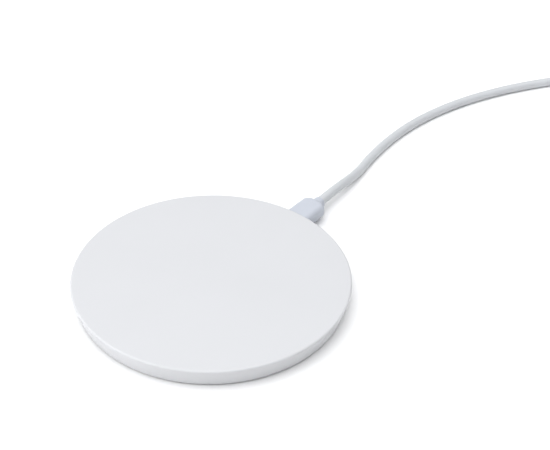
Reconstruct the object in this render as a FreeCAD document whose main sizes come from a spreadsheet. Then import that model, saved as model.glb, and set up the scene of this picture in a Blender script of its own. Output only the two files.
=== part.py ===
import FreeCAD, Part
import math
import os
import re
import Sketcher
from FreeCAD import Placement, Rotation, Vector

# A round wireless charging pad with its USB cord. Millimetres, +Z up. The origin is the centre of
# the pad on the surface that it stands on, and the USB socket faces +Y.

SIZES = [
    ("pad_radius", 50.0), ("pad_height", 8.0), ("foot_proud", 0.5), ("wall_draft", 17.0),
    ("top_wall", 1.2), ("inner_radius", 46.1), ("rebate_radius", 46.5),
    ("top_round", 0.7), ("skirt_round", 0.4), ("base_thick", 1.2), ("base_gap", 0.1),
    # how far a cutting solid runs past what it cuts
    ("cut_margin", 1.0),
    # screws, their bosses and the feet that hide them
    ("screw_circle", 40.0), ("screw_seat", 2.6), ("head_radius", 2.0), ("head_height", 1.2),
    ("shank_radius", 1.0), ("shank_length", 3.0), ("drive_width", 0.5), ("drive_span", 2.2),
    ("drive_depth", 0.7), ("boss_foot", 3.4), ("cover_boss_radius", 2.75),
    ("base_boss_radius", 3.3), ("head_clearance", 0.2), ("shank_clearance", 0.15),
    ("foot_radius", 4.5), ("foot_recess", 0.5), ("foot_gap", 0.2), ("foot_round", 0.3),
    ("foot_pad_radius", 5.7), ("foot_pad_height", 0.5),
    # coil, ferrite and the ribs that hold them
    ("wire_radius", 0.54), ("turn_pitch", 1.16), ("half_turns", 21), ("coil_inner", 10.25),
    ("lead_bend", 2.5), ("lead_drop", 1.09), ("lead_fold", 1.6), ("lead_turn", 3.0),
    ("lead_angle", 60.0), ("inner_straight", 0.7), ("outer_straight", 1.9), ("lead_stub", 0.7),
    ("film_thick", 0.12), ("film_inner", 9.4), ("film_outer", 23.2),
    ("ferrite_radius", 24.5), ("ferrite_thick", 0.8), ("slot_width", 1.6), ("slot_start", 4.0),
    ("ring_clearance", 0.3), ("ring_wall", 1.0), ("ring_gap", 12.0), ("ring_gap_start", 19.5),
    ("inner_rib_radius", 9.0), ("outer_rib_radius", 19.5), ("rib_wall", 1.2),
    ("lead_notch", 2.6), ("lead_end", 29.2), ("solder_radius", 1.1), ("solder_tip", 0.7),
    # stiffening ribs and lip of the base
    ("rib_start", 26.0), ("rib_end", 45.0), ("rib_height", 1.2), ("rib_width", 1.0),
    ("lip_radius", 45.9), ("lip_wall", 1.0), ("lip_height", 1.0), ("lip_gap", 5.0),
    ("lip_gap_start", 41.0),
    # circuit board and its locating pins
    ("board_radius", 45.0), ("board_half", 23.0), ("board_start", 27.0), ("board_thick", 0.8),
    ("pin_radius", 0.8), ("pin_gap", 0.1), ("pin_length", 1.9), ("standoff_radius", 1.9),
    ("pin_side", 19.0), ("pin_row", 31.0), ("pin_back", 37.0),
    # status light
    ("light_angle", 76.0), ("pipe_radius", 0.75), ("pipe_gap", 0.03), ("pipe_height", 4.85),
    ("pipe_start", 45.1), ("collar_radius", 1.1), ("collar_length", 0.9),
    ("led_width", 1.6), ("led_depth", 0.8), ("led_height", 0.9), ("led_gap", 0.3),
    # micro USB socket
    ("port_height", 4.5), ("port_half_width", 4.2), ("port_half_height", 1.6), ("port_round", 0.5),
    ("socket_half", 3.75), ("socket_half_height", 1.225), ("socket_wall", 0.25),
    ("socket_mouth", 48.4), ("socket_back", 42.8), ("socket_block", 0.6), ("socket_corner", 0.8),
    ("tongue_half", 1.95), ("tongue_tip", 47.7), ("tongue_top", 0.6), ("touch_height", 0.02),
    ("contact_pitch", 0.65), ("contact_width", 0.35), ("contact_thick", 0.12),
    ("contact_tail", 0.5), ("contact_foot", 1.0),
    # micro USB plug
    ("plug_face", 50.15), ("plug_half", 3.425), ("plug_half_height", 0.9), ("plug_wall", 0.25),
    ("plug_tip", 43.6), ("plug_end", 53.2), ("plug_corner", 0.7), ("plate_half", 1.55),
    ("plate_thick", 0.5), ("plate_setback", 0.4), ("contact_setback", 0.7),
    ("block_depth", 0.8),
    ("mould_half_width", 5.1), ("mould_half_height", 2.85), ("mould_length", 13.1),
    ("mould_rear_half", 2.8), ("mould_slope", 2.0), ("mould_edge", 2.1), ("mould_core", 9.6),
    ("core_half_width", 3.9), ("core_half_height", 1.7), ("core_start", 0.9),
    ("strain_radius", 2.55), ("strain_end", 2.4), ("strain_length", 1.6), ("strain_root", 1.6),
    ("strain_lip", 0.45), ("strain_mouth", 2.0),
    ("latch_place", 2.0), ("latch_width", 0.6), ("latch_thick", 0.2), ("latch_proud", 0.05),
    ("latch_lift", 0.1), ("latch_tip", 44.7), ("latch_length", 5.6), ("hook_length", 0.8),
    ("window_gap", 0.05),
    # cord, its coil and tie
    ("cord_radius", 1.85), ("coil_middle", 21.8), ("coil_stub", 15.0), ("coil_round", 1.5),
    ("tie_thick", 0.8), ("tie_width", 7.0), ("tie_round", 1.6), ("tie_rise", 0.8),
    # USB-A plug at the cord's far end
    ("usb_half_width", 8.0), ("usb_half_height", 4.0), ("usb_length", 20.0),
    ("usb_rear_half", 5.0), ("usb_slope", 2.6), ("usb_edge", 2.1),
    ("usb_strain_length", 6.0), ("usb_strain_radius", 2.9),
    ("usb_strain_end", 2.4), ("usb_shell_half", 6.0), ("usb_shell_half_height", 2.25),
    ("usb_shell_wall", 0.3), ("usb_shell_length", 18.75), ("usb_tongue", 1.84),
    ("usb_core_start", 8.0), ("usb_core_end", 25.1), ("usb_core_half", 6.6),
    ("usb_core_half_height", 3.0), ("usb_shell_start", 20.0), ("usb_block_end", 28.0),
    ("usb_contact_width", 1.2), ("usb_contact_pitch", 2.3), ("usb_contact_thick", 0.15),
    ("usb_contact_tail", 1.5), ("usb_tongue_setback", 0.8),
    ("usb_window", 2.2), ("usb_window_place", 3.0), ("usb_window_start", 35.0),
]

# Heights and places that follow from the sizes, as formulas in the sheet's names.
CEILING = "(pad_height - top_wall)"
BASE_TOP = "(foot_proud + base_thick)"
# Where the slanted outer wall would meet the top and the underside, before their edges are rounded.
WALL_TOP = "(pad_radius - top_round + top_round * (1 + sin(wall_draft)) / cos(wall_draft))"
WALL_FOOT = "(" + WALL_TOP + " - (pad_height - foot_proud) * tan(wall_draft))"
PIPE_END = "(" + WALL_TOP + " - (pad_height - pipe_height + pipe_radius) * tan(wall_draft))"
BOARD_FLOOR = "(port_height + socket_half_height)"
BOARD_TOP = "(port_height + socket_half_height + board_thick)"
FERRITE_FLOOR = "(pad_height - top_wall - film_thick - 2 * wire_radius - ferrite_thick)"
SCREW_OFFSET = "screw_circle / sqrt(2)"
WIRE_HEIGHT = "(pad_height - top_wall - film_thick - wire_radius)"
LEAD_HEIGHT = "(pad_height - top_wall - film_thick - wire_radius - lead_drop)"
LEAD_PLACE = "(2 * lead_bend - coil_inner)"
MOULD_END = "(plug_face + mould_length)"
PIN_PLACES = [("-pin_side", "pin_row"), ("pin_side", "pin_row"), ("0", "pin_back")]

# The cord's route from the plug to the coil, chosen by hand: out of the plug, down to the table and
# round in a loose bend. The last point is where the coil starts.
ROUTE = [
    Vector(0.0, 60.0, 4.5), Vector(0.0, 79.5, 4.5), Vector(-2.0, 93.0, 2.3),
    Vector(-4.8, 105.6, 1.9), Vector(-6.6, 122.1, 1.85), Vector(-6.4, 138.6, 1.85),
    Vector(-3.9, 155.6, 1.85), Vector(1.7, 175.1, 1.85), Vector(11.2, 195.8, 1.85),
    Vector(23.0, 214.5, 1.85), Vector(31.7, 224.8, 1.85),
]
# The tail from the top of the coil down into the USB-A plug, as (distance along -Y, height).
TAIL = [(0.0, 5.55), (9.0, 5.55), (21.5, 4.0), (34.0, 4.0)]
# The USB-A plug's distance from the coil, and the tie's bearing on it.
USB_DISTANCE = 26.0
TIE_ANGLE = 70.0
# The screws and feet are drawn on the X axis and turned to this bearing.
SCREW_ANGLE = 45.0
# The share of the shorter run beside it that each bend of the cord takes up.
BEND_SHARE = 0.45
# Lengths nearer than this count as the same.
NEAR = 1e-4

doc = FreeCAD.newDocument("charging_pad")
sheet = doc.addObject("Spreadsheet::Sheet", "Sizes")
nodes = []


def fill_sheet():
    """Write every driving dimension into the sheet under its name."""
    for row, (alias, number) in enumerate(SIZES, start=1):
        sheet.set("A%d" % row, alias)
        sheet.set("B%d" % row, str(number))
        sheet.setAlias("B%d" % row, alias)
    doc.recompute()


def formula(text):
    """Turn a formula in the sheet's names into an expression of the document."""
    return re.sub(r"[a-z]+(?:_[a-z]+)+", lambda found: "Sizes." + found.group(0), text)


def size(text):
    """Give a formula's present value as a number."""
    return float(sheet.evalExpression(formula(text)))


def bind(item, **formulas):
    """Bind an object's properties to formulas; two underscores stand for a dot."""
    for name, text in formulas.items():
        item.setExpression(name.replace("__", "."), formula(text))


def node(item, label):
    """Record an object as a finished sub-part, and give it the name of its file."""
    item.Label = label
    nodes.append(item)
    return item


# ---------------------------------------------------------------- sketches and features

def new_body(label):
    return doc.addObject("PartDesign::Body", label)


def new_sketch(body, plane, lift="0"):
    """Start a sketch on one of the body's own planes, raised along the plane's normal."""
    item = body.newObject("Sketcher::SketchObject", "Sketch")
    origin = next(o for o in body.Origin.OriginFeatures if o.Role == plane + "_Plane")
    item.AttachmentSupport = [(origin, "")]
    item.MapMode = "FlatFace"
    item.setExpression("AttachmentOffset.Base.z", formula(lift))
    return item


def pin_point(item, index, point, x, y):
    """Tie one point of a sketch to its coordinates."""
    for kind, text in (("DistanceX", x), ("DistanceY", y)):
        rule = Sketcher.Constraint(kind, -1, 1, index, point, size(text))
        number = item.addConstraint(rule)
        item.setExpression("Constraints[%d]" % number, formula(text))


def draw_outline(item, corners):
    """Draw a closed outline of straight lines through the corners."""
    points = [Vector(size(x), size(y), 0) for x, y in corners]
    first = item.GeometryCount
    count = len(points)
    for k in range(count):
        item.addGeometry(Part.LineSegment(points[k], points[(k + 1) % count]), False)
    for k in range(count):
        ends = (first + k, 2, first + (k + 1) % count, 1)
        item.addConstraint(Sketcher.Constraint("Coincident", *ends))
        pin_point(item, first + k, 1, *corners[k])


def draw_box(item, x0, y0, x1, y1):
    draw_outline(item, [(x0, y0), (x1, y0), (x1, y1), (x0, y1)])


def draw_circle(item, x, y, radius):
    centre = Vector(size(x), size(y), 0)
    number = item.addGeometry(Part.Circle(centre, Vector(0, 0, 1), size(radius)), False)
    pin_point(item, number, 3, x, y)
    rule = item.addConstraint(Sketcher.Constraint("Radius", number, size(radius)))
    item.setExpression("Constraints[%d]" % rule, formula(radius))


def draw_ring(item, x, y, inner, outer):
    draw_circle(item, x, y, inner)
    draw_circle(item, x, y, outer)


def extrude(body, item, length, kind="Pad", midplane=False):
    """Pad a sketch along its normal, or pocket it the same way into the solid."""
    doc.recompute()
    before = body.Shape.Volume if kind == "Pocket" else 0.0
    feature = body.newObject("PartDesign::" + kind, kind)
    feature.Profile = item
    feature.setExpression("Length", formula(length))
    feature.Reversed = kind == "Pocket"
    if midplane:
        feature.SideType = "Symmetric"
    doc.recompute()
    if kind == "Pocket" and body.Shape.Volume > before - 1e-6:
        raise RuntimeError(body.Label + ": a pocket cuts nothing")
    return feature


def revolve(body, item):
    """Turn a sketch all the way round its vertical axis."""
    feature = body.newObject("PartDesign::Revolution", "Revolution")
    feature.Profile = item
    feature.ReferenceAxis = (item, ["V_Axis"])
    feature.Angle = 360
    doc.recompute()
    return feature


def spread(body, features, count, angle=360.0):
    """Repeat features round the body's Z axis."""
    pattern = body.newObject("PartDesign::PolarPattern", "Pattern")
    pattern.Originals = features
    axis = next(o for o in body.Origin.OriginFeatures if o.Role == "Z_Axis")
    pattern.Axis = (axis, [""])
    pattern.Angle = angle
    pattern.Occurrences = count
    body.Tip = pattern
    doc.recompute()
    return pattern


def dress(body, kind, amount, wanted):
    """Round or bevel the edges of the body that the test picks."""
    base = body.Tip
    edges = base.Shape.Edges
    names = ["Edge%d" % (k + 1) for k, edge in enumerate(edges) if wanted(edge)]
    if not names:
        raise RuntimeError(body.Label + ": no edge to dress")
    feature = body.newObject("PartDesign::" + kind, kind)
    feature.Base = (base, names)
    prop = "Radius" if kind == "Fillet" else "Size"
    feature.setExpression(prop, formula(amount))
    doc.recompute()
    return feature


def is_circle(edge, radius, z):
    """True for a round edge of this radius that lies flat at this height."""
    if not isinstance(edge.Curve, Part.Circle):
        return False
    flat = edge.BoundBox.ZLength < NEAR
    return flat and abs(edge.Curve.Radius - radius) < NEAR and abs(edge.BoundBox.ZMin - z) < NEAR


def is_corner(edge, low, high):
    """True for an edge that stands at one of two X positions."""
    return min(abs(edge.BoundBox.XMin - low), abs(edge.BoundBox.XMin - high)) < NEAR


def runs_along(edge, axis):
    """True for a straight edge parallel to the axis."""
    if not isinstance(edge.Curve, Part.Line):
        return False
    return abs(abs(edge.tangentAt(edge.FirstParameter).dot(axis)) - 1.0) < 1e-6


# ---------------------------------------------------------------- Part primitives

def block(name, low, sides):
    """Make a box from formulas of its low corner and of its three sides."""
    item = doc.addObject("Part::Box", name)
    bind(item, Length=sides[0], Width=sides[1], Height=sides[2],
         Placement__Base__x=low[0], Placement__Base__y=low[1], Placement__Base__z=low[2])
    return item


def rod(name, radius, length, start, direction, tip_radius=None):
    """Make a cylinder, or a cone when it has a tip radius, from a point along a direction."""
    kind = "Part::Cylinder" if tip_radius is None else "Part::Cone"
    item = doc.addObject(kind, name)
    item.Placement = Placement(start, Rotation(Vector(0, 0, 1), direction))
    if tip_radius is None:
        bind(item, Radius=radius, Height=length)
    else:
        bind(item, Radius1=radius, Radius2=tip_radius, Height=length)
    return item


def fuse(label, items):
    result = doc.addObject("Part::MultiFuse", label)
    result.Shapes = items
    result.Refine = False
    return result


def cut(label, base, tool):
    result = doc.addObject("Part::Cut", label)
    result.Base = base
    result.Tool = tool
    return result


def group(label, items):
    """Keep several separate solids together as one sub-part."""
    result = doc.addObject("Part::Compound", label)
    result.Links = items
    return result


def place(item, base, turn_deg=0.0):
    """Stand an object at a place, turned about the vertical."""
    item.Placement = Placement(base, Rotation(Vector(0, 0, 1), turn_deg))


# ---------------------------------------------------------------- the pad's housing

def cover_moulding():
    """The cover before its openings: a shallow cup with everything that hangs from its ceiling."""
    body = new_body("cover_moulding")
    item = new_sketch(body, "XZ")
    draw_outline(item, [
        ("0", CEILING), ("inner_radius", CEILING), ("inner_radius", BASE_TOP),
        ("rebate_radius", BASE_TOP), ("rebate_radius", "foot_proud"), (WALL_FOOT, "foot_proud"),
        (WALL_TOP, "pad_height"), ("0", "pad_height"),
    ])
    revolve(body, item)
    for amount, radius, z in (("top_round", size(WALL_TOP), size("pad_height")),
                              ("skirt_round", size(WALL_FOOT), size("foot_proud"))):
        dress(body, "Fillet", amount, lambda e: is_circle(e, radius, z))

    bosses = new_sketch(body, "XY", "boss_foot")
    draw_ring(bosses, SCREW_OFFSET, SCREW_OFFSET, "shank_radius", "cover_boss_radius")
    boss = extrude(body, bosses, CEILING + " - boss_foot")
    spread(body, [boss], 4)

    ring = new_sketch(body, "XY", FERRITE_FLOOR)
    draw_ring(ring, "0", "0", "ferrite_radius + ring_clearance",
              "ferrite_radius + ring_clearance + ring_wall")
    extrude(body, ring, CEILING + " - " + FERRITE_FLOOR)
    gap = new_sketch(body, "XY", FERRITE_FLOOR)
    draw_box(gap, "-ring_gap", "ring_gap_start", "ring_gap", "board_start")
    extrude(body, gap, CEILING + " - " + FERRITE_FLOOR, "Pocket")

    standoffs = new_sketch(body, "XY", BOARD_TOP)
    for x, y in PIN_PLACES:
        draw_circle(standoffs, x, y, "standoff_radius")
    extrude(body, standoffs, CEILING + " - " + BOARD_TOP)
    pins = new_sketch(body, "XY", CEILING + " - pin_length")
    for x, y in PIN_PLACES:
        draw_circle(pins, x, y, "pin_radius")
    extrude(body, pins, "pin_length")
    return body


def light_direction():
    angle = math.radians(size("light_angle"))
    return Vector(math.cos(angle), math.sin(angle), 0)


def port_opening():
    """The rounded slot in the cover's skirt that the plug's shell goes through."""
    body = new_body("port_opening")
    item = new_sketch(body, "XZ", "-pad_radius - cut_margin")
    draw_box(item, "-port_half_width", "port_height - port_half_height",
             "port_half_width", "port_height + port_half_height")
    extrude(body, item, "pad_radius - inner_radius + 2 * cut_margin")
    dress(body, "Fillet", "port_round", lambda e: runs_along(e, Vector(0, 1, 0)))
    return body


def top_cover():
    out = light_direction()
    start = out * size("pipe_start") + Vector(0, 0, size("pipe_height"))
    hole = rod("light_hole", "pipe_radius + pipe_gap", "pad_radius - pipe_start + cut_margin",
               start, out)
    openings = group("cover_openings", [port_opening(), hole])
    node(cut("top_cover", cover_moulding(), openings), "top_cover")


def base_plate():
    """The plate that closes the cover from below."""
    body = new_body("base_plate")
    item = new_sketch(body, "XZ")
    draw_outline(item, [
        ("0", "foot_proud"), ("rebate_radius - base_gap", "foot_proud"),
        ("rebate_radius - base_gap", BASE_TOP), ("0", BASE_TOP),
    ])
    revolve(body, item)

    rib = new_sketch(body, "XY", BASE_TOP)
    draw_box(rib, "-rib_end", "-rib_width / 2", "-rib_start", "rib_width / 2")
    spread(body, [extrude(body, rib, "rib_height")], 5, 180.0)
    for height, radius in (("foot_pad_height", "foot_pad_radius"),
                           ("boss_foot - " + BASE_TOP, "base_boss_radius")):
        item = new_sketch(body, "XY", BASE_TOP)
        draw_circle(item, SCREW_OFFSET, SCREW_OFFSET, radius)
        spread(body, [extrude(body, item, height)], 4)
    for radius, depth in (("foot_radius + foot_gap", "foot_recess"),
                          ("head_radius + head_clearance", "screw_seat - foot_proud"),
                          ("shank_radius + shank_clearance", "boss_foot - foot_proud")):
        item = new_sketch(body, "XY", "foot_proud")
        draw_circle(item, SCREW_OFFSET, SCREW_OFFSET, radius)
        spread(body, [extrude(body, item, depth, "Pocket")], 4)

    for radius in ("inner_rib_radius", "outer_rib_radius"):
        item = new_sketch(body, "XY", BASE_TOP)
        draw_ring(item, "0", "0", radius, radius + " + rib_wall")
        extrude(body, item, FERRITE_FLOOR + " - " + BASE_TOP)
    notch = new_sketch(body, "XY", FERRITE_FLOOR + " - slot_width / 2")
    draw_box(notch, LEAD_PLACE + " - lead_notch / 2", "0",
             LEAD_PLACE + " + lead_notch / 2", "board_start")
    extrude(body, notch, "slot_width", "Pocket")

    lip = new_sketch(body, "XY", BASE_TOP)
    draw_ring(lip, "0", "0", "lip_radius - lip_wall", "lip_radius")
    extrude(body, lip, "lip_height")
    gap = new_sketch(body, "XY", BASE_TOP)
    draw_box(gap, "-lip_gap", "lip_gap_start", "lip_gap", "pad_radius")
    extrude(body, gap, "lip_height", "Pocket")

    posts = new_sketch(body, "XY", BASE_TOP)
    for x, y in PIN_PLACES:
        draw_ring(posts, x, y, "pin_radius + pin_gap", "standoff_radius")
    extrude(body, posts, BOARD_FLOOR + " - " + BASE_TOP)

    node(body, "base_plate")


def rubber_feet():
    """Four round feet that stand proud of the base and hide the screws."""
    body = new_body("rubber_feet")
    item = new_sketch(body, "XY")
    draw_circle(item, "screw_circle", "0", "foot_radius")
    spread(body, [extrude(body, item, "foot_proud + foot_recess")], 4)
    radius = size("foot_radius")
    dress(body, "Fillet", "foot_round", lambda e: is_circle(e, radius, 0.0))
    place(body, Vector(0, 0, 0), SCREW_ANGLE)
    node(body, "rubber_feet")


def base_screws():
    """Four cross-head screws, their threads plain at the mean diameter."""
    body = new_body("base_screws")
    head = new_sketch(body, "XY", "screw_seat - head_height")
    draw_circle(head, "screw_circle", "0", "head_radius")
    shank = new_sketch(body, "XY", "screw_seat")
    features = [extrude(body, head, "head_height")]
    draw_circle(shank, "screw_circle", "0", "shank_radius")
    features.append(extrude(body, shank, "shank_length"))
    for across, along in (("drive_span", "drive_width"), ("drive_width", "drive_span")):
        item = new_sketch(body, "XY", "screw_seat - head_height")
        draw_box(item, "screw_circle - %s / 2" % across, "-%s / 2" % along,
                 "screw_circle + %s / 2" % across, "%s / 2" % along)
        features.append(extrude(body, item, "drive_depth", "Pocket"))
    spread(body, features, 4)
    place(body, Vector(0, 0, 0), SCREW_ANGLE)
    node(body, "base_screws")


# ---------------------------------------------------------------- coil and ferrite

def arc(centre, radius, start_deg, end_deg, z):
    """A flat arc from one bearing to another, counted from +X towards +Y."""
    points = []
    for bearing in (start_deg, (start_deg + end_deg) / 2, end_deg):
        turn = math.radians(bearing)
        x, y = centre[0] + radius * math.cos(turn), centre[1] + radius * math.sin(turn)
        points.append(Vector(x, y, z))
    return Part.Arc(*points).toShape()


def smooth_wire(points, radii):
    """Join straight runs with tangent arcs, whose radii are given point by point."""
    edges = []
    start = points[0]
    for before, corner, after, radius in zip(points, points[1:], points[2:], radii):
        back = (before - corner).normalize()
        ahead = (after - corner).normalize()
        half = back.getAngle(ahead) / 2
        reach = radius / math.tan(half)
        first = corner + back * reach
        last = corner + ahead * reach
        towards = (back + ahead).normalize()
        middle = corner + towards * (radius / math.sin(half) - radius)
        if start.distanceToPoint(first) > 1e-6:
            edges.append(Part.LineSegment(start, first).toShape())
        edges.append(Part.Arc(first, middle, last).toShape())
        start = last
    edges.append(Part.LineSegment(start, points[-1]).toShape())
    return edges


def tube(edges, radius):
    """Sweep a disc of the radius along a smooth chain of edges."""
    path = Part.Wire(edges)
    start = path.Edges[0]
    heading = start.tangentAt(start.FirstParameter)
    disc = Part.Wire([Part.makeCircle(radius, start.valueAt(start.FirstParameter), heading)])
    return path.makePipeShell([disc], True, False)


def inner_lead():
    """The wire from under the board, up through the ferrite's slot, to the coil's inner end."""
    low, high = size(LEAD_HEIGHT), size(WIRE_HEIGHT)
    x, bend, fold = size(LEAD_PLACE), size("lead_bend"), size("lead_fold")
    top = 2 * bend + size("inner_straight")
    points = [Vector(x, size("lead_end"), low), Vector(x, top + high - low, low),
              Vector(x, top, high), Vector(x, 2 * bend, high)]
    edges = smooth_wire(points, [fold, fold])
    edges.append(arc((x - bend, 2 * bend), bend, 0, -90, high))
    edges.append(arc((x - bend, 0), bend, 90, 180, high))
    return edges


def spiral_turns():
    """Half circles about two centres, each wider than the last by half the pitch."""
    z, grow = size(WIRE_HEIGHT), size("turn_pitch") / 2
    edges = []
    for number in range(int(size("half_turns"))):
        over = number % 2
        radius = size("coil_inner") + number * grow
        edges.append(arc((-grow * over, 0), radius, 180 * (over + 1), 180 * (over + 2), z))
    return edges


def outer_lead():
    """The wire from the coil's outer end, round and down under the board."""
    low, high = size(LEAD_HEIGHT), size(WIRE_HEIGHT)
    grow = size("turn_pitch") / 2
    radius = size("coil_inner") + size("half_turns") * grow
    turn, fold = size("lead_turn"), size("lead_fold")
    leave = size("lead_angle")
    reach = radius + turn
    centre = (-grow + reach * math.cos(math.radians(leave)), reach * math.sin(math.radians(leave)))
    edges = [arc((-grow, 0), radius, 0, leave, high)]
    edges.append(arc(centre, turn, leave + 180, 180, high))
    x, start = centre[0] - turn, centre[1]
    top = start + size("outer_straight")
    points = [Vector(x, start, high), Vector(x, top, high),
              Vector(x, top + high - low, low), Vector(x, size("lead_end"), low)]
    return edges + smooth_wire(points, [fold, fold])


def charging_coil():
    """A flat spiral of Litz wire, drawn as one round strand, with both its leads."""
    item = doc.addObject("Part::Feature", "charging_coil")
    item.Shape = tube(inner_lead() + spiral_turns() + outer_lead(), size("wire_radius"))
    item.Placement = Placement()
    return node(item, "charging_coil")


def coil_adhesive():
    body = new_body("coil_adhesive")
    item = new_sketch(body, "XY", CEILING + " - film_thick")
    draw_ring(item, "0", "0", "film_inner", "film_outer")
    extrude(body, item, "film_thick")
    node(body, "coil_adhesive")


def ferrite_plate():
    """The round ferrite behind the coil, slotted for the inner lead."""
    body = new_body("ferrite_plate")
    item = new_sketch(body, "XY", FERRITE_FLOOR)
    draw_circle(item, "0", "0", "ferrite_radius")
    extrude(body, item, "ferrite_thick")
    slot = new_sketch(body, "XY", FERRITE_FLOOR)
    draw_box(slot, LEAD_PLACE + " - slot_width / 2", "slot_start",
             LEAD_PLACE + " + slot_width / 2", "ferrite_radius + cut_margin")
    extrude(body, slot, "ferrite_thick", "Pocket")
    node(body, "ferrite_plate")


def solder_joints(coil):
    """Where the coil's two leads are soldered under the board."""
    cones = []
    for edge_x in (size(LEAD_PLACE), outer_lead()[-1].Vertexes[-1].X):
        start = Vector(edge_x, size("lead_end - lead_stub"), size(LEAD_HEIGHT))
        cones.append(rod("solder", "solder_tip", BOARD_FLOOR + " - " + LEAD_HEIGHT, start,
                         Vector(0, 0, 1), "solder_radius"))
    node(cut("coil_solder_joints", group("solder_cones", cones), coil), "coil_solder_joints")


# ---------------------------------------------------------------- circuit board

def circuit_board():
    """A board that fills the segment behind the coil, hung from the cover by its pins."""
    blank = doc.addObject("Part::Common", "board_blank")
    disc = doc.addObject("Part::Cylinder", "board_disc")
    bind(disc, Radius="board_radius", Height="board_thick", Placement__Base__z=BOARD_FLOOR)
    blank.Base = disc
    blank.Tool = block("board_block", ("-board_half", "board_start", BOARD_FLOOR),
                       ("2 * board_half", "board_radius", "board_thick"))
    holes = []
    for x, y in PIN_PLACES:
        hole = doc.addObject("Part::Cylinder", "board_hole")
        bind(hole, Radius="pin_radius + pin_gap", Height="board_thick", Placement__Base__x=x,
             Placement__Base__y=y, Placement__Base__z=BOARD_FLOOR)
        holes.append(hole)
    node(cut("circuit_board", blank, group("board_holes", holes)), "circuit_board")


def chips(label, sides, places):
    """Hang a group of equal block-shaped components under the board."""
    length, width, height = sides
    items = []
    for x, y in places:
        low = (str(x), str(y), "%s - %s" % (BOARD_FLOOR, height))
        items.append(block("chip", low, (str(length), str(width), str(height))))
    node(items[0] if len(items) == 1 else group(label, items), label)


def components():
    """Everything that is soldered under the board, apart from the socket."""
    chips("controller_chip", (5.0, 5.0, 0.85), [(-8.0, 32.0)])
    chips("bridge_transistors", (3.3, 3.3, 0.8), [(4.5, 31.5), (9.2, 31.5)])
    pairs = [(x, y) for x in (12.6, 16.4) for y in (34.2, 37.4)]
    chips("resonant_capacitors", (3.2, 2.5, 2.0), pairs)
    chips("input_capacitors", (3.2, 1.6, 1.6), [(4.6, 39.4), (4.6, 41.6)])
    chips("input_inductor", (4.0, 4.0, 2.0), [(-13.0, 37.5)])
    rows = [(-15.0 + 1.6 * k, y) for k in range(4) for y in (30.2, 31.6, 33.0)]
    chips("chip_resistors", (1.0, 0.5, 0.35), rows)


def status_light():
    """A side-facing light at the board's edge, and the clear pipe that takes it through the skirt."""
    out = light_direction()
    lamp = doc.addObject("Part::Box", "status_led")
    bind(lamp, Length="led_width", Width="led_depth", Height="led_height")
    across = Vector(out.y, -out.x, 0)
    base = out * size("pipe_start - led_gap - led_depth") - across * size("led_width / 2")
    base.z = size(BOARD_FLOOR + " - led_height")
    place(lamp, base, size("light_angle") - 90)
    node(lamp, "status_led")
    start = out * size("pipe_start") + Vector(0, 0, size("pipe_height"))
    stem = rod("light_stem", "pipe_radius", PIPE_END + " - pipe_start", start, out)
    collar = rod("light_collar", "collar_radius", "collar_length", start, out)
    node(fuse("light_pipe", [stem, collar]), "light_pipe")


# ---------------------------------------------------------------- micro USB socket

def trapezium(half, half_height, corner):
    """The outline of a micro USB shell, wide side up, with its two lower corners cut off."""
    middle = "port_height"
    high, low = "%s + %s" % (middle, half_height), "%s - (%s)" % (middle, half_height)
    notch = "%s + %s" % (low, corner)
    return [("-(%s)" % half, high), (half, high), (half, notch), ("%s - (%s)" % (half, corner), low),
            ("-(%s) + %s" % (half, corner), low), ("-(%s)" % half, notch)]


def inner_trapezium(half, half_height, corner, wall):
    """The outline inside a shell of even wall; at the corners cut at 45 degrees it shrinks less."""
    return trapezium("%s - %s" % (half, wall), "%s - %s" % (half_height, wall),
                     "%s - (2 - sqrt(2)) * %s" % (corner, wall))


def shell_tube(label, half, half_height, corner, wall, front, length):
    """A bent metal shell, open at both ends, that runs towards -Y from its front."""
    body = new_body(label)
    item = new_sketch(body, "XZ", "-(%s)" % front)
    draw_outline(item, trapezium(half, half_height, corner))
    draw_outline(item, inner_trapezium(half, half_height, corner, wall))
    extrude(body, item, length)
    return body


def shell_filling(label, half, half_height, corner, wall, front, length):
    """The solid that fits inside such a shell."""
    body = new_body(label)
    item = new_sketch(body, "XZ", "-(%s)" % front)
    draw_outline(item, inner_trapezium(half, half_height, corner, wall))
    extrude(body, item, length)
    return body


def contact_places(count, pitch):
    """Centres of a row of contacts, even about the middle."""
    return ["%s * (%s)" % (pitch, k - (count - 1) / 2) for k in range(count)]


def micro_socket():
    """The socket under the board: metal shell, insulator with its tongue, and five contacts."""
    form = ("socket_half", "socket_half_height", "socket_corner", "socket_wall")
    node(shell_tube("usb_socket_shell", *form, "socket_mouth", "socket_mouth - socket_back"),
         "usb_socket_shell")

    touch = "port_height + touch_height"
    contacts = []
    for number, x in enumerate(contact_places(5, "contact_pitch")):
        left = x + " - contact_width / 2"
        blade = block("blade", (left, "socket_back - contact_tail", touch),
                      ("contact_width", "tongue_tip - socket_back", "contact_thick"))
        riser = block("riser", (left, "socket_back - contact_tail", touch),
                      ("contact_width", "contact_thick", "socket_half_height - touch_height"))
        foot = block("foot", (left, "socket_back - contact_tail - contact_foot",
                              BOARD_FLOOR + " - contact_thick"),
                     ("contact_width", "contact_foot + contact_thick", "contact_thick"))
        contacts.append(fuse("socket_contact_%d" % (number + 1), [blade, riser, foot]))
    contact_group = group("usb_socket_contacts", contacts)

    back = shell_filling("socket_block_body", *form, "socket_back + socket_block", "socket_block")
    tongue = block("tongue", ("-tongue_half", "socket_back", touch),
                   ("2 * tongue_half", "tongue_tip - socket_back", "tongue_top - touch_height"))
    under = block("under_tongue",
                  ("-tongue_half - cut_margin", "socket_back + socket_block", touch),
                  ("2 * (tongue_half + cut_margin)", "tongue_tip - socket_back", "contact_thick"))
    insulator = cut("socket_moulding", fuse("socket_solid", [back, tongue]), under)
    node(cut("usb_socket_insulator", insulator, contact_group), "usb_socket_insulator")
    node(contact_group, "usb_socket_contacts")


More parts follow.
